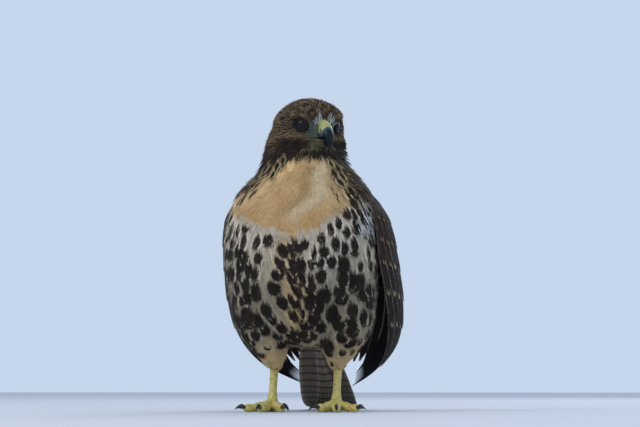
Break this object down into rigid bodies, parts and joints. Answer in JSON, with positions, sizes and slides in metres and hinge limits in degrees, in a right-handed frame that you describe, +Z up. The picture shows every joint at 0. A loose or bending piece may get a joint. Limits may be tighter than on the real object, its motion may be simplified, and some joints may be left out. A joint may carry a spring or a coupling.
{
  "type": "red-tailed hawk model",
  "caption": "Life-size still model of a perched first-year red-tailed hawk, standing on both feet with its folded tail laid on the floor.",
  "frame": {"origin": "middle of the whole bird's box at floor level", "axes": "+Z up, the bird's breast faces -Y, its left side is +X"},
  "size_m": [0.2078, 0.345, 0.3585],
  "materials": {
    "head_feathers": "brown feathers with tawny edges",
    "breast_feathers": "buff and white feathers with dark brown blotches",
    "wing_feathers": "dark brown feathers with pale edges",
    "tail_feathers": "grey-brown feathers with narrow dark bars",
    "bill": "blue-black horn",
    "cere": "yellow-green waxy skin",
    "foot_skin": "yellow scaled skin",
    "claw": "black horn",
    "eye": "dark wet eye"
  },
  "bodies": {
    "root": {"head": "head_feathers", "neck": "head_feathers", "torso": "breast_feathers", "cere": "cere", "bill_upper": "bill", "bill_lower": "bill", "eye_left": "eye", "eye_right": "eye", "thigh_left": "breast_feathers", "claw_left_inner": "claw", "claw_left_middle": "claw", "claw_left_outer": "claw", "claw_left_hind": "claw", "foot_left": "foot_skin", "thigh_right": "breast_feathers", "claw_right_inner": "claw", "claw_right_middle": "claw", "claw_right_outer": "claw", "claw_right_hind": "claw", "foot_right": "foot_skin", "tail": "tail_feathers", "wing_left": "wing_feathers", "wing_right": "wing_feathers"}
  },
  "joints": []
}
